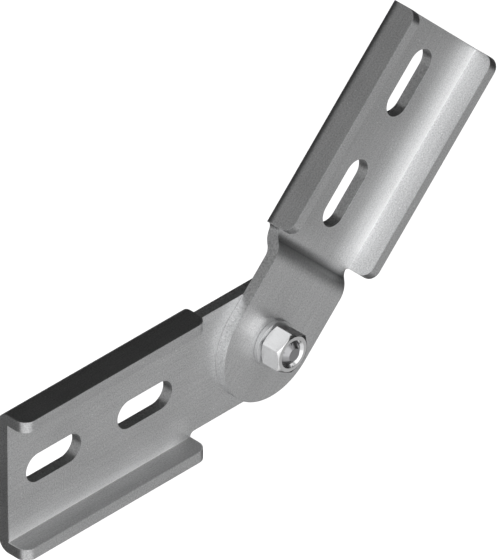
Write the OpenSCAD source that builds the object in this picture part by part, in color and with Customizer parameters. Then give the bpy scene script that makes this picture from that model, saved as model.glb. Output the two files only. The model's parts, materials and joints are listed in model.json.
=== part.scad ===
// Hinged connector for cable tray: two flanged steel arms that lap at a bolted pivot.
// The row's origin is the centre of the fixed arm's two slots, on the back face of its web.
// +X runs along the fixed arm to the pivot, +Z is up, and the flanges point along -Y.

/* [Sheet] */
// Thickness of the steel sheet of both arms
sheet_t = 5; // [3:0.5:6]
// Inside radius of the bend between web and flange
bend_r = 0.3; // [0.1:0.1:3]

/* [Channel] */
// Height over the two flanges
web_h = 66; // [60:1:120]
// Depth from the back face to the flanges' free edges
flange_depth = 15; // [12:1:40]
// Length of the flanged stretch of an arm
channel_l = 100; // [95:1:200]
// Radius of the flanges' free corners
flange_corner_r = 5; // [1:0.5:6]

/* [Slots] */
// Width of a fixing slot
slot_w = 13; // [8:0.5:16]
// Length of a fixing slot, end to end
slot_l = 30; // [18:1:40]
// Distance between the centres of an arm's two slots
slot_pitch = 50; // [42:1:60]
// Distance from an arm's outer end to the first slot's centre
slot_inset = 25; // [21:1:32]

/* [Tongue] */
// Width of the tongue that carries the pivot
tongue_w = 52; // [36:1:54]
// Distance from the end of the flanges to the pivot axis
pivot_reach = 40; // [40:1:60]
// Fillet between the tongue and the end of the channel
relief_r = 2; // [0.5:0.5:2]
// Inside radius of the two bends that set the swing tongue in front of the fixed one
joggle_r = 6; // [3:0.5:6]

/* [Pivot bolt] */
// Thread diameter of the bolt
bolt_d = 10; // [8:1:12]
// Length of the bolt under its head
bolt_l = 24.6; // [24:0.1:35]
// Chamfer of the bolt's end, the same in length and in radius
bolt_chamfer = 2.2; // [0.5:0.1:3]
// Height of the bolt's head
head_h = 6.4; // [5:0.1:8]
// Width across flats of the bolt's head and of the nut
hex_af = 16; // [14:1:19]
// Height of the nut
nut_h = 9.7; // [6:0.1:10]
// How far the hexagons' round faces stop short of their flats
hex_face_inset = 0.4; // [0.2:0.1:1]
// Chamfer at each mouth of the nut's thread, the same in depth and in radius
nut_chamfer = 1.05; // [0.3:0.05:1.2]
// Outer diameter of a washer
washer_od = 20; // [18:0.5:24]
// Thickness of a washer
washer_t = 2; // [1:0.1:3]

/* [Fits] */
// Radial clearance of the bolt in the arms' pivot holes
pivot_clearance = 0.1; // [0.02:0.01:0.5]
// Radial clearance of the bolt in the washers
washer_clearance = 0.25; // [0.05:0.05:0.5]
// Radial clearance between the bolt and the nut's thread
thread_clearance = 0.05; // [0.02:0.01:0.1]
// Clearance between faces that slide on each other at the pivot
lap_clearance = 0.05; // [0.02:0.01:0.2]

/* [Pose] */
// How far the swing arm is folded up from the straight line
fold_angle = 45; // [-90:1:90]

/* [Hidden] */
$fn = 96;

// Overshoot that carries a cut clean through a face
cut = 1;
// How far a tongue runs on inside the web that it grows from
tongue_root = 2;
// Slope of the hexagons' corner chamfer, as a rise in height over run in radius
hex_chamfer_slope = tan(30);
// Angle that turns a hexagon's corners to the top and bottom
hex_turn = 30;
fixed_angle = 180;

bend_outer_r = bend_r + sheet_t;
arm_l = pivot_reach + channel_l;
pivot_x = arm_l - slot_inset - slot_pitch / 2;
slot_xs = [for (i = [0, 1]) arm_l - slot_inset - i * slot_pitch];
pivot_hole_r = bolt_d / 2 + pivot_clearance;

// The joggle is two equal arcs, one bent each way, that together step the sheet by lap_step
lap_step = sheet_t + lap_clearance;
joggle_radii = 2 * joggle_r + sheet_t;
joggle_angle = acos(1 - lap_step / joggle_radii);
joggle_l = joggle_radii * sin(joggle_angle);
joggle_x = pivot_reach - joggle_l;

// Depths along the bolt, from the back face of the webs
nut_washer_z = lap_step + sheet_t + lap_clearance;
nut_z = nut_washer_z + washer_t;
head_z = -washer_t;
hex_corner_r = hex_af / 2 / cos(30);
hex_face_r = hex_af / 2 - hex_face_inset;

// An arm is drawn with its pivot at the origin, its length along +x, its height along y and its
// depth along z, from the back face at z = 0 to the open side. These two set it in the row.
module at_pivot() {
    translate([pivot_x, 0, 0]) rotate([90, 0, 0]) children();
}

module at_arm(angle) {
    translate([pivot_x, 0, 0]) rotate([0, -angle, 0]) rotate([90, 0, 0]) children();
}

// A U of the given width, open along +y, with both corners of its base rounded
module rounded_u(width, depth, r) {
    translate([-width / 2, r]) square([width, depth - r]);
    translate([-width / 2 + r, 0]) square([width - 2 * r, r]);
    for (side = [-1, 1]) translate([side * (width / 2 - r), r]) circle(r);
}

module channel_section() {
    difference() {
        rounded_u(web_h, flange_depth, bend_outer_r);
        translate([0, sheet_t]) rounded_u(web_h - 2 * sheet_t, flange_depth, bend_r);
    }
}

module stadium(length, width) {
    straight = length - width;
    square([straight, width], center = true);
    for (side = [-1, 1]) translate([side * straight / 2, 0]) circle(d = width);
}

// What is cut off a square corner at the origin to leave a round of radius r towards +x and -y
module corner_waste(r) {
    difference() {
        translate([-cut, -r]) square([r + cut, r + cut]);
        translate([r, -r]) circle(r);
    }
}

// The flanged stretch: a bent channel whose flanges have rounded corners
module channel() {
    difference() {
        translate([pivot_reach, 0, 0]) rotate([90, 0, 90]) linear_extrude(channel_l) channel_section();
        for (end = [0, 1])
            translate([pivot_reach + end * channel_l, 0, flange_depth]) mirror([end, 0, 0])
                rotate([90, 0, 0]) linear_extrude(web_h + 2 * cut, center = true)
                    corner_waste(flange_corner_r);
    }
}

// An arm: the channel and the tongue given as its child, with the slots cut through the web
module arm() {
    difference() {
        union() {
            channel();
            children();
        }
        for (x = slot_xs)
            translate([x, 0, -cut]) linear_extrude(sheet_t + 2 * cut) stadium(slot_l, slot_w);
    }
}

// The tongue seen square on: round about the pivot, with a fillet where it leaves the channel
module tongue_plan() {
    difference() {
        union() {
            translate([0, -tongue_w / 2]) square([pivot_reach + tongue_root, tongue_w]);
            circle(d = tongue_w);
            for (side = [0, 1]) mirror([0, side]) translate([pivot_reach, tongue_w / 2])
                difference() {
                    translate([-relief_r, -cut]) square([relief_r, relief_r + cut]);
                    translate([-relief_r, relief_r]) circle(relief_r);
                }
        }
        circle(pivot_hole_r);
    }
}

module ring_sector(r_in, r_out, from, to) {
    reach = 2 * r_out;
    intersection() {
        difference() {
            circle(r_out);
            circle(r_in);
        }
        polygon([[0, 0], reach * [cos(from), sin(from)], reach * [cos(to), sin(to)]]);
    }
}

// The swing tongue seen edge on: flat at the pivot, then stepped back to the web's plane
module joggle_profile() {
    translate([-tongue_w, lap_step]) square([tongue_w + joggle_x, sheet_t]);
    translate([joggle_x, lap_step - joggle_r])
        ring_sector(joggle_r, joggle_r + sheet_t, 90 - joggle_angle, 90);
    translate([pivot_reach, sheet_t + joggle_r])
        ring_sector(joggle_r, joggle_r + sheet_t, 270 - joggle_angle, 270);
    translate([pivot_reach, 0]) square([tongue_root, sheet_t]);
}

module flat_tongue() {
    linear_extrude(sheet_t) tongue_plan();
}

module joggled_tongue() {
    intersection() {
        rotate([90, 0, 0]) linear_extrude(web_h, center = true) joggle_profile();
        translate([0, 0, -cut]) linear_extrude(lap_step + sheet_t + 2 * cut) tongue_plan();
    }
}

// A hexagon of height h whose corners are chamfered at the top, and at the bottom too if asked
module chamfered_hex(h, both_ends) {
    outer_r = hex_corner_r + cut;
    drop = (outer_r - hex_face_r) * hex_chamfer_slope;
    base = both_ends ? [[hex_face_r, 0], [outer_r, drop]] : [[outer_r, 0]];
    intersection() {
        rotate([0, 0, hex_turn]) cylinder(h = h, r = hex_corner_r, $fn = 6);
        rotate_extrude()
            polygon(concat([[0, 0]], base, [[outer_r, h - drop], [hex_face_r, h], [0, h]]));
    }
}

module washer(z) {
    at_pivot() translate([0, 0, z]) linear_extrude(washer_t)
        difference() {
            circle(d = washer_od);
            circle(bolt_d / 2 + washer_clearance);
        }
}

module fixed_arm() {
    color("darkgray") at_arm(fixed_angle) arm() flat_tongue();
}

module swing_arm() {
    color("darkgray") at_arm(fold_angle) arm() joggled_tongue();
}

module pivot_bolt() {
    r = bolt_d / 2;
    color("gray") at_pivot() translate([0, 0, head_z]) {
        mirror([0, 0, 1]) chamfered_hex(head_h, false);
        rotate_extrude()
            polygon([
                [0, -head_h / 2], [r, -head_h / 2],
                [r, bolt_l - bolt_chamfer], [r - bolt_chamfer, bolt_l], [0, bolt_l]
            ]);
    }
}

module head_washer() {
    color("silver") washer(head_z);
}

module nut_washer() {
    color("silver") washer(nut_washer_z);
}

module pivot_nut() {
    bore_r = bolt_d / 2 + thread_clearance;
    mouth_r = bore_r + nut_chamfer;
    color("gainsboro") at_pivot() translate([0, 0, nut_z])
        difference() {
            chamfered_hex(nut_h, true);
            rotate_extrude()
                polygon([
                    [0, -cut], [mouth_r + cut, -cut], [bore_r, nut_chamfer],
                    [bore_r, nut_h - nut_chamfer], [mouth_r + cut, nut_h + cut], [0, nut_h + cut]
                ]);
        }
}

fixed_arm();
swing_arm();
pivot_bolt();
head_washer();
nut_washer();
pivot_nut();
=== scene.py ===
"""Looks of a hinged connector for cable tray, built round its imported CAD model."""

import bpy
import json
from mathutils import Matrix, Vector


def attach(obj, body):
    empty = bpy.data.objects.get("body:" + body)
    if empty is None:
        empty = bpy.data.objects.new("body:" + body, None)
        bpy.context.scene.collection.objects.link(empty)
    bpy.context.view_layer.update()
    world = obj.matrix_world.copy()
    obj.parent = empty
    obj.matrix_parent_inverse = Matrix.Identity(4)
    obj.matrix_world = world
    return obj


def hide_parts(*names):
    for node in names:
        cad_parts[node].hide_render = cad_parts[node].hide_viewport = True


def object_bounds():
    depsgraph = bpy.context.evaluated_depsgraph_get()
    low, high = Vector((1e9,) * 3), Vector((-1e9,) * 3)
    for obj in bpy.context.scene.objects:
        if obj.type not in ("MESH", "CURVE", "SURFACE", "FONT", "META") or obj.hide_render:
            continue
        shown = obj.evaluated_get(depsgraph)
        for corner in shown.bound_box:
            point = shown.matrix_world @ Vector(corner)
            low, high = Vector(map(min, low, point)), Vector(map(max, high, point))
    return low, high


bl_info = {
    "name": "Cable tray hinged connector",
    "version": (1, 0, 0),
    "blender": (4, 5, 0),
    "location": "3D View > Sidebar > Connector",
    "description": "Builds the bent arms and the bolted pivot of a hinged cable tray connector",
    "category": "Object",
}

import json
import math
from collections import namedtuple

import bmesh
import bpy
from bpy.props import FloatProperty, FloatVectorProperty, IntProperty, PointerProperty
from mathutils import Matrix, Vector
from mathutils.geometry import delaunay_2d_cdt

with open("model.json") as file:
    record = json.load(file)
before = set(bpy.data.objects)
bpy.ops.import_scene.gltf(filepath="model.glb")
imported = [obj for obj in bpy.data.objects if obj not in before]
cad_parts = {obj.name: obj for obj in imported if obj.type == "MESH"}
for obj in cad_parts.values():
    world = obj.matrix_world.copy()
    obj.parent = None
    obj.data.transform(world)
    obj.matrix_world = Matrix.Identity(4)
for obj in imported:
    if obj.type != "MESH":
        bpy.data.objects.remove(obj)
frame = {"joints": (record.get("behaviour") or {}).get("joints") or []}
CAD_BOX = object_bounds()
PIVOT = Vector(frame["joints"][0]["pos_m"])

MM = 0.001
QUARTER_TURN = math.pi / 2
# From pieces drawn flat about the origin to upright ones about the pivot
TO_PIVOT = Matrix.Translation((PIVOT.x, 0.0, PIVOT.z))
UPRIGHT = Matrix.Rotation(QUARTER_TURN, 4, "X")
# Width of the camera's sensor in millimetres
SENSOR = 36.0
# In metres, shorter distances than LEAST count as nothing, and points nearer than WELD, or than MERGE
# while a plate is filled, as one point
LEAST = 1e-6
WELD = 1e-7
MERGE = 1e-9

# How many steps the round stretches of an arm are drawn in
EDGE_STEPS = 3
CORNER_STEPS = 8
BEND_STEPS = 12
JOGGLE_STEPS = 20
SLOT_STEPS = 28
HOLE_STEPS = 64
TONGUE_STEPS = 72


def length(name, description, millimetres):
    """A length that a user may change, with its default given in millimetres."""
    return FloatProperty(
        name=name, description=description, default=millimetres * MM, min=0.0, precision=5, unit="LENGTH"
    )


def share(name, description, default):
    """A number from nought to one."""
    return FloatProperty(
        name=name, description=description, default=default, min=0.0, max=1.0, subtype="FACTOR"
    )


def colour(name, description, default):
    """A colour of a finish, in linear values."""
    return FloatVectorProperty(
        name=name, description=description, default=default, size=3, min=0.0, max=1.0, subtype="COLOR"
    )


def power(name, description, default):
    """The power of a lamp in watts."""
    return FloatProperty(name=name, description=description, default=default, min=0.0, unit="POWER")


class ArmSizes(bpy.types.PropertyGroup):
    """Sizes of the two bent sheet arms."""

    sheet: length("Sheet", "Thickness of the steel sheet", 5.0)
    bend: length("Bend radius", "Inside radius between web and flange", 0.12)
    web: length("Web", "Height over the two flanges", 66.0)
    flange: length("Flange depth", "Depth from the back face to the flanges' free edges", 15.0)
    channel: length("Channel", "Length of the flanged stretch", 100.0)
    corner: length("Flange corner", "Radius of the flanges' free corners", 5.0)
    slot_width: length("Slot width", "Width of a fixing slot", 13.0)
    slot_length: length("Slot length", "Length of a fixing slot, end to end", 30.0)
    slot_pitch: length("Slot pitch", "Distance between the centres of the two slots", 50.0)
    slot_inset: length("Slot inset", "From the arm's outer end to the first slot's centre", 25.0)
    tongue: length("Tongue width", "Width of the tongue that carries the pivot", 52.0)
    reach: length("Pivot reach", "From the end of the flanges to the pivot axis", 40.0)
    relief: length("Relief", "Fillet between the tongue and the channel's end", 2.0)
    joggle: length("Joggle radius", "Inside radius of the two bends of the joggle", 6.0)
    step: length("Joggle step", "How far the swing tongue stands in front of the fixed one", 5.05)
    hole: length("Pivot hole", "Radius of the pivot hole", 5.1)
    edge: length("Edge radius", "Rounding of the sheet's cut edges", 0.03)
    band: length("Edge band", "Width over which the finish of the cut edges fades into the faces", 0.7)
    fold: FloatProperty(
        name="Fold",
        description="How far the swing arm is folded up at rest",
        default=math.radians(45.0),
        subtype="ANGLE",
    )


class PivotSizes(bpy.types.PropertyGroup):
    """Sizes of the bolt, the nut and the two washers."""

    thread: length("Thread", "Thread diameter of the bolt", 10.0)
    pitch: length("Pitch", "Pitch of the thread", 1.5)
    depth: length("Thread depth", "Depth of the thread", 0.86)
    bolt: length("Bolt", "Length of the bolt under its head", 24.6)
    bolt_chamfer: length("Bolt chamfer", "Chamfer of the bolt's end", 2.2)
    head: length("Head", "Height of the bolt's head", 6.4)
    collar: length("Collar", "Height of the round seat under the bolt's head", 0.4)
    flats: length("Across flats", "Width across flats of the head and of the nut", 16.0)
    nut: length("Nut", "Height of the nut", 9.7)
    face_inset: length("Face inset", "How far a hexagon's round face stops short of its flats", 0.4)
    mouth: length("Mouth chamfer", "Chamfer at each mouth of the nut's thread", 1.05)
    play: length("Thread play", "Radial clearance between the bolt and the nut", 0.05)
    washer: length("Washer", "Outer diameter of a washer", 20.0)
    washer_hole: length("Washer hole", "Inner diameter of a washer", 10.5)
    washer_sheet: length("Washer sheet", "Thickness of a washer", 2.0)
    washer_edge: length("Washer edge", "Rounding of a washer's edges", 0.12)
    washer_start: length("Washer place", "From the webs' back face to the washer under the nut", 10.1)
    hex_edge: length("Hexagon edge", "Rounding of the hexagons' upright edges", 0.3)
    break_edge: length("Broken edge", "Width by which the other edges are broken", 0.1)
    around: IntProperty(
        name="Around", description="Steps along one side of a hexagon", default=16, min=8
    )


class Finishes(bpy.types.PropertyGroup):
    """Colours of the metals, how dull they are, and how much painted shade darkens some parts of the
    sheet.
    """

    sheet_dark: colour("Sheet dark", "Darker grains of the galvanised sheet", (0.5, 0.504, 0.508))
    sheet_light: colour("Sheet light", "Lighter grains of the galvanised sheet", (0.98, 0.984, 0.988))
    sheet_dull: share("Sheet roughness", "Roughness of the galvanised sheet", 0.42)
    # Painted shade: the sheet is made darker on these parts, standing in for shade and dim reflections
    fixed_flange_painted_shade: share("Fixed flanges", "How much darker the fixed arm's flanges are", 0.44)
    swing_flange_painted_shade: share("Swing flange", "How much darker the swing arm's upper flange is", 0.2)
    swing_web_painted_shade: share("Swing web", "How much darker the swing arm's web is than its tongue", 0.15)
    joggle_painted_shade: share("Joggle", "How much darker the hollow of the joggle is than the web", 0.75)
    bend_painted_shade: share("Bends", "How much darker the outside of the bends is than the web", 0.9)
    nut_tone: colour("Nut", "Bright zinc of the nut", (0.92, 0.92, 0.925))
    nut_dull: share("Nut roughness", "Roughness of the nut", 0.22)
    bolt_tone: colour("Bolt", "Duller zinc of the bolt", (0.44, 0.44, 0.45))
    bolt_dull: share("Bolt roughness", "Roughness of the bolt", 0.3)
    washer_tone: colour("Washer", "Zinc of the washers", (0.66, 0.665, 0.67))
    washer_dull: share("Washer roughness", "Roughness of the washers", 0.42)


class Stage(bpy.types.PropertyGroup):
    """Floor, room, lamps and camera."""

    floor: colour("Floor", "Colour of the floor", (0.86, 0.86, 0.86))
    drop: length("Floor drop", "How far the floor lies under the arms", 1650.0)
    glow: share("Floor glow", "How much white the floor adds for the camera", 0.55)
    ambient: share("Ambient", "Grey of the room's light on dull surfaces", 0.45)
    key: power("Key lamp", "Soft lamp over the camera's side of the floor", 60.0)
    fill: power("Back lamp", "Soft lamp over the far side of the floor", 30.0)
    lens: FloatProperty(
        name="Lens", description="Focal length, long enough to keep parallel lines parallel",
        default=1400.0, subtype="DISTANCE_CAMERA",
    )
    view_height: length("View height", "Height of the picture at the aim point", 218.3)
    aim: FloatVectorProperty(
        name="Aim", description="Point in the middle of the picture", size=3,
        default=(0.06686, -0.02035, 0.04651), subtype="TRANSLATION", unit="LENGTH",
    )


class Wire:
    """One output socket. Arithmetic on it adds Math nodes to its tree."""

    def __init__(self, tree, socket):
        self.tree = tree
        self.socket = socket

    def math(self, operation, *others):
        return self.tree.node("ShaderNodeMath", {"operation": operation}, [self, *others])

    def other(self, name):
        """Another output of the same node."""
        return Wire(self.tree, self.socket.node.outputs[name])

    def __add__(self, other):
        return self.math("ADD", other)

    __radd__ = __add__

    def __sub__(self, other):
        return self.math("SUBTRACT", other)

    def __rsub__(self, other):
        return self.tree.node("ShaderNodeMath", {"operation": "SUBTRACT"}, [other, self])

    def __mul__(self, other):
        return self.math("MULTIPLY", other)

    __rmul__ = __mul__

    def __truediv__(self, other):
        return self.math("DIVIDE", other)

    def __rtruediv__(self, other):
        return self.tree.node("ShaderNodeMath", {"operation": "DIVIDE"}, [other, self])

    def __abs__(self):
        return self.math("ABSOLUTE")

    def at_least(self, limit):
        return self.math("MAXIMUM", limit)

    def at_most(self, limit):
        return self.math("MINIMUM", limit)

    def within_one(self):
        """The value held between nought and one."""
        return self.at_least(0.0).at_most(1.0)


class Tree:
    """A node tree, with one method that adds any node."""

    def __init__(self, node_tree):
        self.data = node_tree

    def node(self, kind, settings=None, sockets=None, output=0):
        """Adds a node: settings first, then the values or wires of its sockets, by name or by number."""
        made = self.data.nodes.new(kind)
        for name, value in (settings or {}).items():
            setattr(made, name, value)
        pairs = enumerate(sockets) if isinstance(sockets, list) else (sockets or {}).items()
        for name, value in pairs:
            socket = made.inputs[name]
            if isinstance(value, Wire):
                self.data.links.new(value.socket, socket)
            else:
                socket.default_value = value
        return Wire(self, made.outputs[output]) if len(made.outputs) else None

    def split(self, vector):
        """The three parts of a vector."""
        x = self.node("ShaderNodeSeparateXYZ", None, [vector])
        return x, x.other("Y"), x.other("Z")

    def attribute(self, name, output="Fac"):
        """What the mesh carries under this name."""
        return self.node("ShaderNodeAttribute", {"attribute_name": name}, output=output)

    def blend(self, factor, first, second):
        """Colour that goes from the first to the second."""
        return self.node(
            "ShaderNodeMix", {"data_type": "RGBA"}, {0: factor, 6: first, 7: second}, output=2
        )

    def noise(self, place, scale, detail=2.0, stretch=None):
        """Smooth noise about one half. Scale is in grains per metre."""
        if stretch:
            place = self.node("ShaderNodeMapping", None, {"Vector": place, "Scale": stretch})
        return self.node(
            "ShaderNodeTexNoise", None, {"Vector": place, "Scale": scale, "Detail": detail}
        )


class Shape(Tree):
    """A Geometry Nodes tree with named inputs, which makes a plain mesh of a piece."""

    def __init__(self, name, inputs):
        super().__init__(bpy.data.node_groups.new(name, "GeometryNodeTree"))
        interface = self.data.interface
        interface.new_socket("Geometry", in_out="INPUT", socket_type="NodeSocketGeometry")
        for label in inputs:
            interface.new_socket(label, in_out="INPUT", socket_type="NodeSocketFloat")
        interface.new_socket("Material", in_out="INPUT", socket_type="NodeSocketMaterial")
        interface.new_socket("Geometry", in_out="OUTPUT", socket_type="NodeSocketGeometry")
        self.start = self.data.nodes.new("NodeGroupInput")

    def input(self, name):
        return Wire(self, self.start.outputs[name])

    def end(self, geometry):
        """Closes the tree: real geometry with its material."""
        real = self.node("GeometryNodeRealizeInstances", None, {"Geometry": geometry})
        done = self.node(
            "GeometryNodeSetMaterial", None, {"Geometry": real, "Material": self.input("Material")}
        )
        out = self.data.nodes.new("NodeGroupOutput")
        self.data.links.new(done.socket, out.inputs[0])

    def run(self, piece, values):
        """Runs the tree on a piece with these input values and keeps the plain mesh."""
        modifier = piece.modifiers.new(self.data.name, "NODES")
        modifier.node_group = self.data
        for item in self.data.interface.items_tree:
            if item.in_out == "INPUT" and item.name in values:
                modifier[item.identifier] = values[item.name]
        keep_evaluated(piece)


def keep_evaluated(piece):
    """Replaces a piece's mesh by what its modifiers make of it, and removes them."""
    bpy.context.view_layer.update()
    depsgraph = bpy.context.evaluated_depsgraph_get()
    made = bpy.data.meshes.new_from_object(
        piece.evaluated_get(depsgraph), preserve_all_data_layers=True, depsgraph=depsgraph
    )
    made.name = piece.name
    old = piece.data
    piece.modifiers.clear()
    piece.data = made
    bpy.data.meshes.remove(old)


def new_piece(name, verts, faces):
    """A piece made of these points and faces, linked to the scene."""
    mesh = bpy.data.meshes.new(name)
    mesh.from_pydata(verts, [], faces)
    mesh.validate()
    piece = bpy.data.objects.new(name, mesh)
    bpy.context.scene.collection.objects.link(piece)
    return piece


def mark(piece, name, values):
    """Gives the points of a piece values that a finish or a node tree reads by name."""
    held = piece.data.attributes.new(name, "FLOAT", "POINT")
    held.data.foreach_set("value", values)


def strip(low, high, count):
    """Faces between two closed rows of points, each given by the number of its first point."""
    ends = [(i, (i + 1) % count) for i in range(count)]
    return [(low + i, low + j, high + j, high + i) for i, j in ends]


def settle(piece, matrix, body, node):
    """Puts a closed piece in the row, shades its rounded edges, and lets it stand for a CAD node."""
    piece.data.transform(matrix)
    work = bmesh.new()
    work.from_mesh(piece.data)
    bmesh.ops.remove_doubles(work, verts=work.verts, dist=WELD)
    if work.calc_volume(signed=True) < 0.0:
        bmesh.ops.reverse_faces(work, faces=work.faces)
    for edge in work.edges:
        if not edge.is_manifold:
            raise RuntimeError(f"{piece.name} isn't closed")
    work.to_mesh(piece.data)
    work.free()
    for face in piece.data.polygons:
        face.use_smooth = True
    shading = piece.modifiers.new("Even shading", "WEIGHTED_NORMAL")
    shading.mode = "FACE_AREA"
    shading.weight = 90
    keep_evaluated(piece)
    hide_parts(node)
    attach(piece, body)


def heading(angle):
    """Unit vector in the plane, at an angle from +X in radians."""
    return Vector((math.cos(angle), math.sin(angle)))


def arc(centre, radius, start, end, steps, hollow=False):
    """Points and outward normals on an arc, without its last point. A hollow arc faces its centre."""
    centre = Vector(centre)
    made = []
    for i in range(steps):
        out = heading(math.radians(start + (end - start) * i / steps))
        made.append((centre + radius * out, -out if hollow else out))
    return made


def line(start, end, stops=()):
    """Points and outward normals on a straight line, without its last point. Stops are distances."""
    start = Vector(start)
    run = Vector(end) - start
    along = run.normalized()
    out = Vector((along.y, -along.x))
    last = run.length - LEAST
    places = [0.0, *sorted(s for s in stops if LEAST < s < last)]
    return [(start + along * s, out) for s in places]


def arm_outline(sizes, reach, half_blank, bend_lines, joggle_lines):
    """Outline of the flat blank, counter-clockwise. The pivot is at the origin."""
    half = sizes.tongue / 2
    relief = sizes.relief
    corner = sizes.corner
    tip = reach + sizes.channel
    root = reach - relief
    low = half_blank - corner
    shoulder = half + relief
    near = reach + corner
    far = tip - corner
    steps = CORNER_STEPS
    end_stops = [b - shoulder for b in bend_lines]
    rise_stops = [low - b for b in bend_lines]
    outline = line((0, -half), (root, -half), joggle_lines)
    outline += arc((root, -shoulder), relief, 90, 0, steps, hollow=True)
    outline += line((reach, -shoulder), (reach, -low), end_stops)
    outline += arc((near, -low), corner, 180, 270, steps)
    outline += line((near, -half_blank), (far, -half_blank))
    outline += arc((far, -low), corner, 270, 360, steps)
    outline += line((tip, -low), (tip, low), rise_stops + [2 * low - s for s in rise_stops])
    outline += arc((far, low), corner, 0, 90, steps)
    outline += line((far, half_blank), (near, half_blank))
    outline += arc((near, low), corner, 90, 180, steps)
    outline += line((reach, low), (reach, shoulder), [low - shoulder - s for s in end_stops])
    outline += arc((root, shoulder), relief, 0, -90, steps, hollow=True)
    outline += line((root, half), (0, half), [root - s for s in joggle_lines])
    outline += arc((0, 0), half, 90, 270, TONGUE_STEPS)
    return outline


def slot_outline(centre, slot_length, slot_width):
    """Outline of a slot, clockwise, facing into the slot."""
    radius = slot_width / 2
    run = slot_length / 2 - radius
    left = Vector((centre - run, 0))
    right = Vector((centre + run, 0))
    up = Vector((0, radius))
    outline = arc(left, radius, 270, 90, SLOT_STEPS, hollow=True)
    outline += line(left + up, right + up)
    outline += arc(right, radius, 90, -90, SLOT_STEPS, hollow=True)
    outline += line(right - up, left - up)
    return outline


def inside(point, loop):
    """True if a point lies inside a loop of points."""
    found = False
    for a, b in zip(loop, loop[1:] + loop[:1]):
        if (a.y > point.y) != (b.y > point.y):
            if point.x < a.x + (point.y - a.y) * (b.x - a.x) / (b.y - a.y):
                found = not found
    return found


def cut_edge(sizes):
    """Section of a cut edge from the back face to the front: insets from the outline, and heights."""
    radius = sizes.edge
    turns = [QUARTER_TURN * k / EDGE_STEPS for k in range(EDGE_STEPS + 1)]
    lower = [(radius * (1 - math.sin(a)), radius * (1 - math.cos(a))) for a in turns]
    levels = [(radius + sizes.band, 0.0), *lower]
    return levels + [(inset, sizes.sheet - height) for inset, height in reversed(levels)]


def fill(loops, lines):
    """Triangles that fill the first loop of points and leave the others open, as numbers of points.
    Lines join points of the first loop, and no triangle crosses them."""
    points = [point for loop in loops for point in loop]
    edges = []
    for loop in loops:
        first = len(edges)
        count = len(loop)
        edges += [(first + i, first + (i + 1) % count) for i in range(count)]
    found = delaunay_2d_cdt(points, edges + lines, [], 1, MERGE)
    placed, triangles, origins = found[0], found[2], found[3]
    made = []
    for triangle in triangles:
        centre = sum((placed[i] for i in triangle), Vector((0, 0))) / 3
        if inside(centre, loops[0]) and not any(inside(centre, hole) for hole in loops[1:]):
            made.append([origins[i][0] for i in triangle])
    return made


def flat_plate(name, sizes, loops, lines, marks):
    """A flat plate of the sheet's thickness with these outlines, whose cut edges are rounded.
    Lines join points of the first outline, so that the plate can be bent along them. Marks are values,
    such as amounts of painted shade, that the material reads, the same all over the plate. One more,
    worn_edge, tells the cut edges."""
    levels = cut_edge(sizes)
    verts = []
    faces = []
    borders = []
    back = []
    front = []
    worn = []
    for loop in loops:
        first = len(verts)
        count = len(loop)
        for inset, height in levels:
            verts += [(*(point - out * inset), height) for point, out in loop]
        rows = [first + k * count for k in range(len(levels))]
        for low, high in zip(rows, rows[1:]):
            faces += strip(low, high, count)
        borders.append([Vector(vert[:2]) for vert in verts[first:first + count]])
        back += range(first, first + count)
        front += range(rows[-1], rows[-1] + count)
        worn += [0.0] * count + [1.0] * (len(levels) - 2) * count + [0.0] * count
    for triangle in fill(borders, lines):
        faces.append(tuple(back[i] for i in reversed(triangle)))
        faces.append(tuple(front[i] for i in triangle))
    piece = new_piece(name, verts, faces)
    for label, value in marks.items():
        mark(piece, label, [value] * len(verts))
    mark(piece, "worn_edge", worn)
    return piece


def bending_tree():
    """Bends a flat blank: both flanges forward, and the tongue by the joggle's two arcs.
    The blank's own place is kept as an attribute, so that the finish follows the sheet."""
    names = ["Sheet", "Bend outside", "Flat half", "Bend run", "Reach", "Joggle radius", "Joggle step"]
    tree = Shape("bent_sheet", names)
    sheet, outer, flat_half, run, reach, joggle, step = (tree.input(name) for name in names)
    place = tree.node("GeometryNodeInputPosition")
    x, y, z = tree.split(place)
    over = abs(y) - flat_half
    turn = (over / run).within_one() * QUARTER_TURN
    radius = outer - z
    across = y.math("SIGN") * (abs(y).at_most(flat_half) + radius * turn.math("SINE"))
    forward = outer - radius * turn.math("COSINE") + (over - run).at_least(0.0)
    radii = joggle * 2.0 + sheet
    angle = (1.0 - step / radii).math("ARCCOSINE")
    arc_run = ((joggle + sheet / 2.0) * angle).at_least(LEAST)
    joggle_start = reach - radii * angle.math("SINE")
    back = reach - x
    ratio = back / arc_run
    lean = ratio.at_most(2.0 - ratio).within_one() * angle
    inner = joggle + sheet - z
    outside = joggle + z
    root = back.math("LESS_THAN", arc_run)
    root_x = reach - inner * lean.math("SINE") - back.at_most(0.0)
    root_z = sheet + joggle - inner * lean.math("COSINE")
    lap_x = joggle_start + outside * lean.math("SINE") - (back - arc_run * 2.0).at_least(0.0)
    lap_z = step - joggle + outside * lean.math("COSINE")
    along = lap_x + (root_x - lap_x) * root
    raised = lap_z + (root_z - lap_z) * root - z
    kept = tree.node(
        "GeometryNodeStoreNamedAttribute",
        {"data_type": "FLOAT_VECTOR", "domain": "POINT"},
        {"Geometry": tree.input("Geometry"), "Name": "blank_place", "Value": place},
    )
    bent = tree.node("ShaderNodeCombineXYZ", None, [along, across, forward + raised])
    tree.end(tree.node("GeometryNodeSetPosition", None, {"Geometry": kept, "Position": bent}))
    return tree


def fold_run(sizes):
    """Half the width of the flat web, and the length of a bend along the middle of the sheet."""
    flat_half = sizes.web / 2 - (sizes.bend + sizes.sheet)
    return flat_half, (sizes.bend + sizes.sheet / 2) * QUARTER_TURN


def joggle_run(sizes, step):
    """Length of each arc of the joggle along the middle of the sheet, and what both add to the blank."""
    radii = 2 * sizes.joggle + sizes.sheet
    angle = math.acos(1 - step / radii)
    arc_run = (sizes.joggle + sizes.sheet / 2) * angle
    return arc_run, 2 * arc_run - radii * math.sin(angle)


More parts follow.
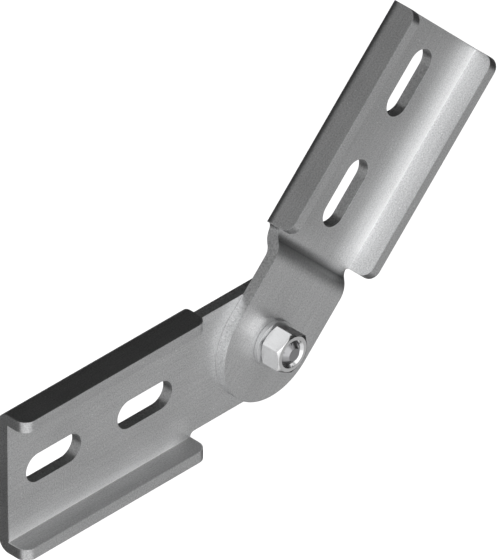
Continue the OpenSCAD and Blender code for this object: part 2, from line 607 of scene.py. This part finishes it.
def arm_blank(name, sizes, step, marks):
    """Flat blank of an arm, with vertices along its bend lines, and the distance from its pivot to the
    end of its flanges."""
    flat_half, bend_run = fold_run(sizes)
    half_blank = flat_half + bend_run + sizes.flange - (sizes.bend + sizes.sheet)
    arc_run, stretch = joggle_run(sizes, step)
    reach = sizes.reach + stretch
    bend_lines = [flat_half + bend_run * i / BEND_STEPS for i in range(BEND_STEPS + 1)]
    joggle_lines = []
    if step:
        joggle_lines = [reach - 2 * arc_run * (1 - i / JOGGLE_STEPS) for i in range(JOGGLE_STEPS + 1)]
    joggle_lines = [x for x in joggle_lines if x < reach - sizes.relief]
    outline = arm_outline(sizes, reach, half_blank, bend_lines, joggle_lines)
    first_slot = reach + sizes.channel - sizes.slot_inset
    loops = [outline]
    for centre in (first_slot, first_slot - sizes.slot_pitch):
        loops.append(slot_outline(centre, sizes.slot_length, sizes.slot_width))
    loops.append(arc((0, 0), sizes.hole, 360, 0, HOLE_STEPS, hollow=True))
    lines = bend_pairs(outline, reach, sizes, flat_half)
    return flat_plate(name, sizes, loops, lines, marks), reach


def bend_pairs(outline, reach, sizes, flat_half):
    """Pairs of outline points that a bend line joins: across the tongue, and along the flanges."""
    tip = reach + sizes.channel
    shoulder = sizes.tongue / 2 + sizes.relief
    tolerance = 1e-8
    tongue = {}
    for i, (point, out) in enumerate(outline):
        if tolerance < point.x < reach + tolerance and abs(point.y) < shoulder + tolerance:
            tongue.setdefault(round(point.x, 8), []).append(i)
    pairs = [tuple(found) for found in tongue.values() if len(found) == 2]
    for side in (-1, 1):
        rows = {reach: [], tip: []}
        for i, (point, out) in enumerate(outline):
            for end, row in rows.items():
                if abs(point.x - end) < tolerance and side * point.y > flat_half - tolerance:
                    row.append((side * point.y, i))
        pairs += [(a[1], b[1]) for a, b in zip(sorted(rows[reach]), sorted(rows[tip]))]
    return pairs


class CONNECTOR_OT_arms(bpy.types.Operator):
    """Cuts, bends and places the fixed arm and the swing arm"""

    bl_idname = "connector.arms"
    bl_label = "Bent arms"

    def execute(self, context):
        sizes = context.scene.connector_arms
        finishes = context.scene.connector_finishes
        finish = galvanised_sheet(finishes, sizes)
        tree = bending_tree()
        flat_half, bend_run = fold_run(sizes)
        # Painted shade that each arm carries as marks, on its flanges, its web and its joggle, and which
        # side is lower at rest
        fixed_marks = {
            "upper_painted_shade": finishes.fixed_flange_painted_shade,
            "lower_painted_shade": finishes.fixed_flange_painted_shade,
            "web_painted_shade": 0.0,
            "joggle_painted_shade": 0.0,
            "low_side": 1.0,
        }
        swing_marks = {
            "upper_painted_shade": finishes.swing_flange_painted_shade,
            "lower_painted_shade": 0.0,
            "web_painted_shade": finishes.swing_web_painted_shade,
            "joggle_painted_shade": finishes.joggle_painted_shade,
            "low_side": -1.0,
        }
        arms = (
            ("arm_fixed", "fixed_arm", "fixed_side", math.pi, 0.0, fixed_marks),
            ("arm_swing", "swing_arm", "swing_side", sizes.fold, sizes.step, swing_marks),
        )
        for name, node, body, angle, step, marks in arms:
            piece, reach = arm_blank(name, sizes, step, marks)
            tree.run(
                piece,
                {
                    "Sheet": sizes.sheet,
                    "Bend outside": sizes.bend + sizes.sheet,
                    "Flat half": flat_half,
                    "Bend run": bend_run,
                    "Reach": reach,
                    "Joggle radius": sizes.joggle,
                    "Joggle step": step,
                    "Material": finish,
                },
            )
            folded = TO_PIVOT @ Matrix.Rotation(-angle, 4, "Y")
            back = Matrix.Translation((sizes.reach - reach, 0.0, 0.0))
            settle(piece, folded @ UPRIGHT @ back, body, node)
        return {"FINISHED"}


def hexagon(flats, rounding, per_side):
    """Points round a hexagon with rounded corners at its top and bottom: angle and radius."""
    inner = flats / 2
    corner = (inner - rounding) / math.cos(math.pi / 6)
    per_corner = 4
    made = []
    for k in range(6):
        axis = math.radians(30 + 60 * k)
        centre = heading(axis) * corner
        turns = [axis + math.radians(-30 + 60 * i / (per_corner - 1)) for i in range(per_corner)]
        points = [centre + rounding * heading(a) for a in turns]
        following = heading(axis + math.pi / 3) * corner
        target = following + rounding * heading(axis + math.pi / 6)
        count = per_side - per_corner
        points += [points[-1].lerp(target, (i + 1) / (count + 1)) for i in range(count)]
        made += [(math.atan2(p.y, p.x), p.length) for p in points]
    return made


def loft(name, rings, joined):
    """A piece from rings of points about the pivot axis, each point an angle, a radius and a height.
    Joined rings close on themselves like a tube, others end in flat faces."""
    count = len(rings[0])
    verts = []
    for ring in rings:
        verts += [(r * math.cos(a), r * math.sin(a), z) for a, r, z in ring]
    faces = []
    spans = len(rings) if joined else len(rings) - 1
    for k in range(spans):
        faces += strip(k * count, (k + 1) % len(rings) * count, count)
    if not joined:
        faces.append(tuple(reversed(range(count))))
        faces.append(tuple(range((len(rings) - 1) * count, len(rings) * count)))
    return new_piece(name, verts, faces)


def mark_thread(piece, radius, low, high, runout):
    """Marks how much of the thread each point carries: full inside, fading out at both ends."""
    values = []
    for vert in piece.data.vertices:
        on_thread = abs(math.hypot(vert.co.x, vert.co.y) - radius) < LEAST
        rise = min(vert.co.z - low, high - vert.co.z) / runout
        values.append(min(max(rise, 0.0), 1.0) if on_thread else 0.0)
    mark(piece, "thread", values)


# How steeply a thread's flank falls over half a pitch, and how late, which leaves its crests flat
FLANK_SLOPE = 1.5
FLANK_DELAY = 0.2


def thread_tree():
    """Cuts a right-hand screw thread into the marked points of a bolt or a nut."""
    tree = Shape("screw_thread", ["Pitch", "Depth"])
    x, y, z = tree.split(tree.node("GeometryNodeInputPosition"))
    carried = tree.node("GeometryNodeInputNamedAttribute", {"data_type": "FLOAT"}, {"Name": "thread"})
    turns = y.math("ARCTAN2", x) / (2 * math.pi)
    phase = (z / tree.input("Pitch") - turns).math("FRACT")
    flank = (abs(phase * 2.0 - 1.0) * FLANK_SLOPE - FLANK_DELAY).within_one()
    radius = (x * x + y * y).math("SQRT")
    shrink = tree.input("Depth") * carried * flank / radius * -1.0
    inward = tree.node("ShaderNodeCombineXYZ", None, [x * shrink, y * shrink, 0.0])
    cut = tree.node(
        "GeometryNodeSetPosition", None, {"Geometry": tree.input("Geometry"), "Offset": inward}
    )
    tree.end(tree.node("GeometryNodeRemoveAttribute", None, {"Geometry": cut, "Name": "thread"}))
    return tree


def steps_between(low, high, count):
    """Heights between two ends, without the ends."""
    return [low + (high - low) * (i + 1) / (count + 1) for i in range(count)]


# Slope of the hexagons' corner chamfer
CHAMFER_SLOPE = math.tan(math.radians(30))
# How far a broken edge runs down a slope of 45 degrees, for each unit of its width
SLANT = 0.7
# Rows of points along the threads
NUT_ROWS = 44
BOLT_ROWS = 130


def round_ring(sides, radius, height):
    """A round ring with a point at each angle of a hexagon's outline."""
    return [(angle, radius, height) for angle, side in sides]


def chamfered_end(sides, face, broken):
    """Rings from a hexagon's round face, at height nought, over its corner chamfer to its flats."""
    return [
        round_ring(sides, face - broken, 0.0),
        round_ring(sides, face + broken, broken * CHAMFER_SLOPE),
        [(a, r - broken, (r - broken - face) * CHAMFER_SLOPE) for a, r in sides],
        [(a, r, (r - face) * CHAMFER_SLOPE + broken) for a, r in sides],
    ]


class CONNECTOR_OT_nut(bpy.types.Operator):
    """Makes the hexagon nut with its thread"""

    bl_idname = "connector.nut"
    bl_label = "Pivot nut"

    def execute(self, context):
        sizes = context.scene.connector_pivot
        sides = hexagon(sizes.flats, sizes.hex_edge, sizes.around)
        face = sizes.flats / 2 - sizes.face_inset
        bore = sizes.thread / 2 + sizes.play
        mouth = bore + sizes.mouth
        broken = sizes.break_edge
        half = [
            round_ring(sides, mouth - SLANT * broken, SLANT * broken),
            round_ring(sides, mouth + broken, 0.0),
            *chamfered_end(sides, face, broken),
        ]
        top = [[(a, r, sizes.nut - z) for a, r, z in ring] for ring in reversed(half)]
        low = sizes.mouth
        high = sizes.nut - sizes.mouth
        rows = [high, *reversed(steps_between(low, high, NUT_ROWS)), low]
        walls = [round_ring(sides, bore, z) for z in rows]
        piece = loft("nut_pivot", half + top + walls, joined=True)
        seat = sizes.washer_start + sizes.washer_sheet
        piece.data.transform(Matrix.Translation((0.0, 0.0, seat)))
        mark_thread(piece, bore, seat + low, seat + high, sizes.pitch)
        finishes = context.scene.connector_finishes
        finish = turned_zinc("nut_zinc", finishes.nut_tone, finishes.nut_dull)
        thread_tree().run(piece, {"Pitch": sizes.pitch, "Depth": sizes.depth, "Material": finish})
        settle(piece, TO_PIVOT @ UPRIGHT, "fixed_side", "pivot_nut")
        return {"FINISHED"}


class CONNECTOR_OT_bolt(bpy.types.Operator):
    """Makes the pivot bolt with its head and its thread"""

    bl_idname = "connector.bolt"
    bl_label = "Pivot bolt"

    def execute(self, context):
        sizes = context.scene.connector_pivot
        sides = hexagon(sizes.flats, sizes.hex_edge, sizes.around)
        face = sizes.flats / 2 - sizes.face_inset
        seat = -sizes.washer_sheet
        top = seat - sizes.head
        broken = sizes.break_edge
        under = seat - sizes.collar
        shank = sizes.thread / 2
        point = shank - sizes.bolt_chamfer
        tip = seat + sizes.bolt
        shoulder = tip - sizes.bolt_chamfer
        rings = [[(a, r, top + z) for a, r, z in ring] for ring in chamfered_end(sides, face, broken)]
        rings += [
            [(a, r, under - broken) for a, r in sides],
            [(a, r - broken, under) for a, r in sides],
            round_ring(sides, face - broken, under),
            round_ring(sides, face - 2 * broken, seat),
        ]
        rows = [seat, *steps_between(seat, shoulder, BOLT_ROWS), shoulder]
        rings += [round_ring(sides, shank, z) for z in rows]
        rings += [
            round_ring(sides, point + SLANT * broken, tip - SLANT * broken),
            round_ring(sides, point - broken, tip),
        ]
        piece = loft("bolt_pivot", rings, joined=False)
        mark_thread(piece, shank, seat + sizes.pitch, shoulder, sizes.pitch)
        finishes = context.scene.connector_finishes
        finish = turned_zinc("bolt_steel", finishes.bolt_tone, finishes.bolt_dull)
        thread_tree().run(piece, {"Pitch": sizes.pitch, "Depth": sizes.depth, "Material": finish})
        settle(piece, TO_PIVOT @ UPRIGHT, "fixed_side", "pivot_bolt")
        return {"FINISHED"}


# How many steps a washer and each of its rounded edges are drawn in
WASHER_STEPS = 128
WASHER_EDGE_STEPS = 4


def washer_tree():
    """A plain washer: a rounded strip swept round a circle, its lower face at the start height."""
    names = ["Outer", "Inner", "Sheet", "Edge", "Start"]
    tree = Shape("plain_washer", names)
    outer, inner, sheet, edge, start = (tree.input(name) for name in names)
    ring = tree.node(
        "GeometryNodeCurvePrimitiveCircle",
        {"mode": "RADIUS"},
        {"Resolution": WASHER_STEPS, "Radius": (outer + inner) / 4.0},
    )
    section = tree.node(
        "GeometryNodeCurvePrimitiveQuadrilateral",
        {"mode": "RECTANGLE"},
        {"Width": (outer - inner) / 2.0, "Height": sheet},
    )
    rounded = tree.node(
        "GeometryNodeFilletCurve",
        {"mode": "POLY"},
        {"Curve": section, "Radius": edge, "Count": WASHER_EDGE_STEPS},
    )
    swept = tree.node("GeometryNodeCurveToMesh", None, {"Curve": ring, "Profile Curve": rounded})
    lift = tree.node("ShaderNodeCombineXYZ", None, [0.0, 0.0, start + sheet / 2.0])
    tree.end(tree.node("GeometryNodeTransform", None, {"Geometry": swept, "Translation": lift}))
    return tree


class CONNECTOR_OT_washers(bpy.types.Operator):
    """Makes the washers under the nut and under the bolt's head"""

    bl_idname = "connector.washers"
    bl_label = "Washers"

    def execute(self, context):
        sizes = context.scene.connector_pivot
        finishes = context.scene.connector_finishes
        finish = turned_zinc("washer_zinc", finishes.washer_tone, finishes.washer_dull)
        tree = washer_tree()
        washers = (
            ("washer_nut", "nut_washer", sizes.washer_start),
            ("washer_head", "head_washer", -sizes.washer_sheet),
        )
        for name, node, start in washers:
            piece = new_piece(name, [], [])
            tree.run(
                piece,
                {
                    "Outer": sizes.washer,
                    "Inner": sizes.washer_hole,
                    "Sheet": sizes.washer_sheet,
                    "Edge": sizes.washer_edge,
                    "Start": start,
                    "Material": finish,
                },
            )
            settle(piece, TO_PIVOT @ UPRIGHT, "fixed_side", node)
        return {"FINISHED"}


# A layer of a finish: grains per metre, and its weight in the tone and in the roughness
Layer = namedtuple("Layer", "scale tone dull")
SHEET_GRAIN = Layer(1600.0, 1.5, 0.12)
SHEET_CLOUD = Layer(45.0, 0.32, 0.06)
SHEET_STREAK = Layer(600.0, 0.35, 0.0)
SHEET_SPECK = Layer(330.0, 0.8, -0.1)
ZINC_GRAIN = Layer(1400.0, 0.5, 0.06)
ZINC_CLOUD = Layer(240.0, 0.9, 0.1)
BUMP_STRENGTH = 0.5

# Streaks are long along the sheet and less deep than the grain
STREAK_STRETCH = (0.07, 1.0, 1.0)
STREAK_DEPTH = 0.4
# Depth of the relief in each metal
SHEET_RELIEF = 0.006 * MM
ZINC_RELIEF = 0.004 * MM
# Only cells with a random value above this hold a speck, whose rim is this sharp
SPECK_PICK = 0.7
SPECK_RIM = 7.0
# How the painted glow on the web near the lower fold, the matt back and the cut edges differ from the
# rest of the sheet
PAINTED_FOLD_GLOW_TONE = 0.5
PAINTED_FOLD_GLOW_MATT = 0.46
BACK_MATT = 0.25
EDGE_TONE = -0.12
EDGE_DULL = -0.03
# Widths over which those and the painted shade fade out
PAINTED_FOLD_GLOW_FADE = 18 * MM
CHANNEL_FADE = 10 * MM
BACK_FADE = 4 * MM
JOGGLE_FADE = 3 * MM
BEND_FADE = 1 * MM
# How fast the painted shade line in the joggle's hollow fades towards the channel
JOGGLE_POWER = 1.5

# Rings left by turning: radians per metre of radius, how many of them a ring wavers by, waves per metre,
# then weights in the tone and in the relief
RING_TURNS = 16000.0
RING_WAVER = 6.0
RING_WAVES = 400.0
RING_TONE = 0.12
RING_DEPTH = 0.3
# Darkest and lightest tones of the turned zinc, against its colour
ZINC_DARK = 0.9
ZINC_LIGHT = 1.08


def empty_tree(owner):
    """The node tree of a material or of a world, emptied."""
    owner.use_nodes = True
    owner.node_tree.nodes.clear()
    return Tree(owner.node_tree)


def new_material(name):
    """An empty node material and its tree."""
    material = bpy.data.materials.new(name)
    return material, empty_tree(material)


def spread(value, *layers):
    """A value with layers of noise added to it, each a noise about one half and its weight."""
    for noise, weight in layers:
        value = value + (noise - 0.5) * weight
    return value


def metal(tree, base, roughness, height, relief, metallic=1.0):
    """Closes a metal: colour and roughness that vary, and a fine relief of the given depth."""
    bump = tree.node(
        "ShaderNodeBump", None, {"Strength": BUMP_STRENGTH, "Distance": relief, "Height": height}
    )
    shader = tree.node(
        "ShaderNodeBsdfPrincipled",
        None,
        {"Base Color": base, "Metallic": metallic, "Roughness": roughness, "Normal": bump},
    )
    tree.node("ShaderNodeOutputMaterial", None, {"Surface": shader})


class SheetParts:
    """Parts of an arm's surface, each one inside and nought outside, told by the place on the blank."""

    def __init__(self, tree, sizes):
        self.place = tree.attribute("blank_place", "Vector")
        self.worn = tree.attribute("worn_edge")
        self.face = 1.0 - self.worn
        along, across, height = tree.split(self.place)
        low = across * tree.attribute("low_side")
        flat_half, bend_run = fold_run(sizes)
        front = height.math("GREATER_THAN", sizes.sheet / 2)
        behind = 1.0 - front
        self.lower = low.math("GREATER_THAN", 0.0)
        self.flange = abs(across).math("GREATER_THAN", flat_half + sizes.sheet / 2)
        web = front * (1.0 - self.flange)
        channel = ((along - sizes.reach) / CHANNEL_FADE).within_one()
        self.web = web * channel
        # Painted light: the web grows paler towards its lower fold
        rise = ((low - (flat_half - PAINTED_FOLD_GLOW_FADE)) / PAINTED_FOLD_GLOW_FADE).within_one() * web * self.face
        self.painted_fold_glow = rise * rise * channel
        self.back = ((flat_half - abs(across)) / BACK_FADE).within_one() * behind * self.face
        # Where painted shade goes along the outside of each bend
        off_middle = abs(abs(across) - (flat_half + bend_run / 2))
        self.bend = (1.0 - off_middle / (bend_run / 2 + BEND_FADE)).within_one() * behind
        # Where the painted shade line goes in the joggle's hollow
        arc_run, stretch = joggle_run(sizes, sizes.step)
        crease = sizes.reach + stretch - arc_run
        into = ((along - (crease - JOGGLE_FADE)) / JOGGLE_FADE).within_one()
        fade = ((crease + arc_run - along) / arc_run).within_one().math("POWER", JOGGLE_POWER)
        self.joggle = into * fade * front


def painted_sheet_shade(tree, finishes, part):
    """Painted shade: how much darker than the zinc each part of an arm is made. The arms carry most of
    it as marks.
    """
    # Painted shade on the flanges, its amount set for each arm and for its upper and lower side
    flange = part.lower * tree.attribute("lower_painted_shade")
    flange = flange + (1.0 - part.lower) * tree.attribute("upper_painted_shade")
    dark = part.flange * flange
    # Painted shade: a dark line in the hollow of the joggle
    dark = dark.at_least(part.joggle * tree.attribute("joggle_painted_shade"))
    # Painted shade along the outside of each bend
    dark = dark.at_least(part.bend * finishes.bend_painted_shade)
    # Painted shade on the swing arm's web, kept off the painted glow near the lower fold
    dark = dark.at_least(part.web * (1.0 - part.painted_fold_glow) * tree.attribute("web_painted_shade"))
    return dark * part.face


def galvanised_sheet(finishes, sizes):
    """Hot-dip galvanised sheet: fine grain, cloudy patches, streaks along the sheet, bright specks, a
    matt back, painted light as a paler, less metallic web near the lower fold, and painted shade on some
    parts."""
    material, tree = new_material("galvanised_sheet")
    part = SheetParts(tree, sizes)
    grain = tree.noise(part.place, SHEET_GRAIN.scale)
    cloud = tree.noise(part.place, SHEET_CLOUD.scale)
    streak = tree.noise(part.place, SHEET_STREAK.scale, stretch=STREAK_STRETCH)
    cell = tree.node(
        "ShaderNodeTexVoronoi", {"feature": "F1"}, {"Vector": part.place, "Scale": SHEET_SPECK.scale}
    )
    pick = tree.node("ShaderNodeSeparateColor", None, [cell.other("Color")])
    speck = pick.math("GREATER_THAN", SPECK_PICK) * (1.0 - cell * SPECK_RIM).within_one()
    layers = ((grain, SHEET_GRAIN), (cloud, SHEET_CLOUD), (streak, SHEET_STREAK))
    tone = spread(0.5, *[(noise, layer.tone) for noise, layer in layers])
    tone = tone + speck * SHEET_SPECK.tone + part.painted_fold_glow * PAINTED_FOLD_GLOW_TONE + part.worn * EDGE_TONE
    zinc = tree.blend(tone.within_one(), (*finishes.sheet_dark, 1.0), (*finishes.sheet_light, 1.0))
    base = tree.blend(painted_sheet_shade(tree, finishes, part), zinc, (0.0, 0.0, 0.0, 1.0))
    dull = spread(finishes.sheet_dull, *[(noise, layer.dull) for noise, layer in layers])
    dull = dull + speck * SHEET_SPECK.dull + part.worn * EDGE_DULL
    metallic = 1.0 - part.painted_fold_glow * PAINTED_FOLD_GLOW_MATT - part.back * BACK_MATT
    metal(tree, base, dull, grain + streak * STREAK_DEPTH, SHEET_RELIEF, metallic)
    return material


def turned_zinc(name, tone, dullness):
    """Zinc-plated turned steel: faint rings round the pivot axis and cloudy patches."""
    material, tree = new_material(name)
    coordinates = tree.node("ShaderNodeTexCoord", output="Object")
    centred = tree.node(
        "ShaderNodeMapping", None, {"Vector": coordinates, "Location": (-PIVOT.x, 0.0, -PIVOT.z)}
    )
    x, _, z = tree.split(centred)
    radius = (x * x + z * z).math("SQRT")
    cloud = tree.noise(centred, ZINC_CLOUD.scale, detail=3.0)
    grain = tree.noise(centred, ZINC_GRAIN.scale)
    waver = tree.noise(centred, RING_WAVES, detail=1.0)
    rings = (radius * RING_TURNS + waver * RING_WAVER).math("SINE") * 0.5 + 0.5
    shade = spread(0.5, (cloud, ZINC_CLOUD.tone), (grain, ZINC_GRAIN.tone), (rings, RING_TONE))
    dark = tuple(ZINC_DARK * c for c in tone)
    light = tuple(min(1.0, ZINC_LIGHT * c) for c in tone)
    base = tree.blend(shade.within_one(), (*dark, 1.0), (*light, 1.0))
    dull = spread(dullness, (cloud, ZINC_CLOUD.dull), (grain, ZINC_GRAIN.dull))
    metal(tree, base, dull, rings * RING_DEPTH + grain, ZINC_RELIEF)
    return material


def seen_directly(tree):
    """One for rays that show the room: those of the camera, of mirrors and of glass."""
    path = tree.node("ShaderNodeLightPath", output="Is Camera Ray")
    return path.at_least(path.other("Is Glossy Ray")).at_least(path.other("Is Transmission Ray"))


def white_room(stage):
    """World that shows white and lights dull surfaces with a plain grey."""
    world = bpy.data.worlds.new("white_room")
    tree = empty_tree(world)
    grey = (stage.ambient,) * 3
    shown = tree.blend(seen_directly(tree), (*grey, 1.0), (1.0, 1.0, 1.0, 1.0))
    light = tree.node("ShaderNodeBackground", None, {"Color": shown})
    tree.node("ShaderNodeOutputWorld", None, {"Surface": light})
    bpy.context.scene.world = world


# Half the width of the floor in metres
FLOOR_HALF = 6.0


def pale_floor(stage, level):
    """Floor that stays white to the camera and still takes the shadow."""
    material, tree = new_material("pale_floor")
    dull = tree.node("ShaderNodeBsdfDiffuse", None, {"Color": (*stage.floor, 1.0)})
    glow = tree.node("ShaderNodeEmission", None, {"Color": seen_directly(tree) * stage.glow})
    both = tree.node("ShaderNodeAddShader", None, [dull, glow])
    below = tree.node("ShaderNodeNewGeometry", output="Backfacing")
    clear = tree.node("ShaderNodeBsdfTransparent")
    floor_side = tree.node("ShaderNodeMixShader", None, [below, both, clear])
    tree.node("ShaderNodeOutputMaterial", None, {"Surface": floor_side})
    ends = (-FLOOR_HALF, FLOOR_HALF)
    corners = [(x, y, level) for y in ends for x in ends]
    floor = new_piece("floor", corners, [(0, 1, 3, 2)])
    floor.data.materials.append(material)


# The light tent: its radius in metres, and how finely it is drawn
TENT_RADIUS = 1.5
TENT_COLUMNS = 72
TENT_ROWS = 36
# Brightness of the tent's cloth between the glows
CLOTH = 0.02
# Soft round glows on the tent's dark cloth: turn from +X towards +Y, tilt above the horizon,
# half width of the even middle, half width with the fading rim, all in degrees, then brightness
# and the share of it that a second reflection still shows
TENT_GLOWS = {
    "front_window": (230, 24, 40, 60, 1.28, 1.0),
    "front_skirt": (232, -34, 30, 58, 0.72, 1.0),
    "rear_sheet": (144, 12, 26, 50, 0.32, 1.0),
    "rear_low": (68, -32, 24, 46, 0.26, 1.0),
    "rear_sky": (45, 62, 10, 32, 0.07, 1.0),
    "zenith": (0, 90, 10, 30, 0.2, 0.15),
    "side_board": (28, -26, 10, 32, 0.09, 1.0),
    "low_board": (314, -38, 17, 33, 0.42, 0.1),
    "high_board": (316, 39, 6, 22, 1.0, 1.0),
}


def direction(turn, tilt):
    """Unit vector at a turn from +X towards +Y and a tilt above the horizon, in degrees."""
    turn = math.radians(turn)
    tilt = math.radians(tilt)
    return Vector((math.cos(tilt) * math.cos(turn), math.cos(tilt) * math.sin(turn), math.sin(tilt)))


def tent_cloth(centre):
    """Cloth of the tent: dark, with soft round glows."""
    material, tree = new_material("tent_cloth")
    place = tree.node("ShaderNodeTexCoord", output="Object")
    ray = tree.node("ShaderNodeVectorMath", {"operation": "SUBTRACT"}, [place, tuple(centre)])
    ray = tree.node("ShaderNodeVectorMath", {"operation": "NORMALIZE"}, [ray])
    # The ray depth of a first reflection is one, that of a second is two
    first = tree.node("ShaderNodeLightPath", output="Ray Depth").math("LESS_THAN", 1.5)
    bright = CLOTH
    for turn, tilt, inner, outer, tone, later in TENT_GLOWS.values():
        middle = tuple(direction(turn, tilt))
        facing = tree.node(
            "ShaderNodeVectorMath", {"operation": "DOT_PRODUCT"}, [ray, middle], output="Value"
        )
        rim = (math.radians(outer) - facing.math("ARCCOSINE")) / math.radians(outer - inner)
        rise = rim.within_one()
        shown = first * (1.0 - later) + later
        glow = rise * rise * (3.0 - rise * 2.0) * shown * tone
        bright = glow.at_least(bright)
    cloth = tree.node("ShaderNodeEmission", None, {"Color": bright})
    tree.node("ShaderNodeOutputMaterial", None, {"Surface": cloth})
    return material


def tent(centre):
    """A light tent round the object, which metal mirrors and which nothing else sees."""
    verts = []
    for k in range(TENT_ROWS + 1):
        for i in range(TENT_COLUMNS):
            out = direction(360 * i / TENT_COLUMNS, 180 * k / TENT_ROWS - 90)
            verts.append(tuple(centre + TENT_RADIUS * out))
    faces = []
    for k in range(TENT_ROWS):
        faces += strip(k * TENT_COLUMNS, (k + 1) * TENT_COLUMNS, TENT_COLUMNS)
    dome = new_piece("tent", verts, faces)
    dome.data.materials.append(tent_cloth(centre))
    dome.visible_camera = False
    dome.visible_diffuse = False
    dome.visible_transmission = False
    dome.visible_shadow = False


# Size of a lamp and its distance from the aim point in metres, then each lamp's turn and tilt in degrees
LAMP_SIZE = 1.6
LAMP_DISTANCE = 2.5
KEY_SIDE = (240, 50)
BACK_SIDE = (80, 50)


def area_lamp(name, watts, side, target):
    """A square soft lamp that faces a point from one side and lights dull surfaces only."""
    place = target + LAMP_DISTANCE * direction(*side)
    lamp = bpy.data.lights.new(name, "AREA")
    lamp.shape = "SQUARE"
    lamp.size = LAMP_SIZE
    lamp.energy = watts
    holder = bpy.data.objects.new(name, lamp)
    holder.location = place
    holder.rotation_euler = (target - place).to_track_quat("-Z", "Y").to_euler()
    holder.visible_camera = False
    holder.visible_glossy = False
    bpy.context.scene.collection.objects.link(holder)


class CONNECTOR_OT_stage(bpy.types.Operator):
    """Sets up the camera, the room, the floor, the light tent and the lamps"""

    bl_idname = "connector.stage"
    bl_label = "Stage"

    def execute(self, context):
        stage = context.scene.connector_stage
        aim = Vector(stage.aim)
        # Evenly inclined to all three axes, as in an isometric drawing
        toward = Vector((-1.0, -1.0, 1.0)).normalized()
        lens = bpy.data.cameras.new("camera")
        lens.lens = stage.lens
        lens.sensor_width = SENSOR
        lens.sensor_fit = "AUTO"
        distance = stage.view_height * stage.lens / SENSOR
        lens.clip_start = 0.1
        lens.clip_end = 10.0 * distance
        camera = bpy.data.objects.new("camera", lens)
        camera.location = aim + toward * distance
        camera.rotation_euler = (-toward).to_track_quat("-Z", "Y").to_euler()
        context.scene.collection.objects.link(camera)
        context.scene.camera = camera
        context.scene.view_settings.view_transform = "Standard"
        white_room(stage)
        pale_floor(stage, CAD_BOX[0].z - stage.drop)
        tent(aim)
        area_lamp("key_lamp", stage.key, KEY_SIDE, aim)
        area_lamp("back_lamp", stage.fill, BACK_SIDE, aim)
        return {"FINISHED"}


class CONNECTOR_PT_panel(bpy.types.Panel):
    """Lists the steps that build the connector, with its sizes, finishes and stage"""

    bl_label = "Hinged connector"
    bl_idname = "CONNECTOR_PT_panel"
    bl_space_type = "VIEW_3D"
    bl_region_type = "UI"
    bl_category = "Connector"

    def draw(self, context):
        for step in STEPS:
            self.layout.operator(step.bl_idname)
        for group in GROUPS:
            settings = getattr(context.scene, group)
            box = self.layout.box()
            for name in settings.__annotations__:
                box.prop(settings, name)


STEPS = (
    CONNECTOR_OT_stage,
    CONNECTOR_OT_arms,
    CONNECTOR_OT_bolt,
    CONNECTOR_OT_nut,
    CONNECTOR_OT_washers,
)
GROUPS = {
    "connector_arms": ArmSizes,
    "connector_pivot": PivotSizes,
    "connector_finishes": Finishes,
    "connector_stage": Stage,
}


def register():
    for kind in (*GROUPS.values(), *STEPS, CONNECTOR_PT_panel):
        bpy.utils.register_class(kind)
    for name, kind in GROUPS.items():
        setattr(bpy.types.Scene, name, PointerProperty(type=kind))


def unregister():
    for name in GROUPS:
        delattr(bpy.types.Scene, name)
    for kind in reversed((*GROUPS.values(), *STEPS, CONNECTOR_PT_panel)):
        bpy.utils.unregister_class(kind)


def main():
    register()
    bpy.ops.connector.stage()
    bpy.ops.connector.arms()
    bpy.ops.connector.bolt()
    bpy.ops.connector.nut()
    bpy.ops.connector.washers()


if __name__ == "__main__":
    main()
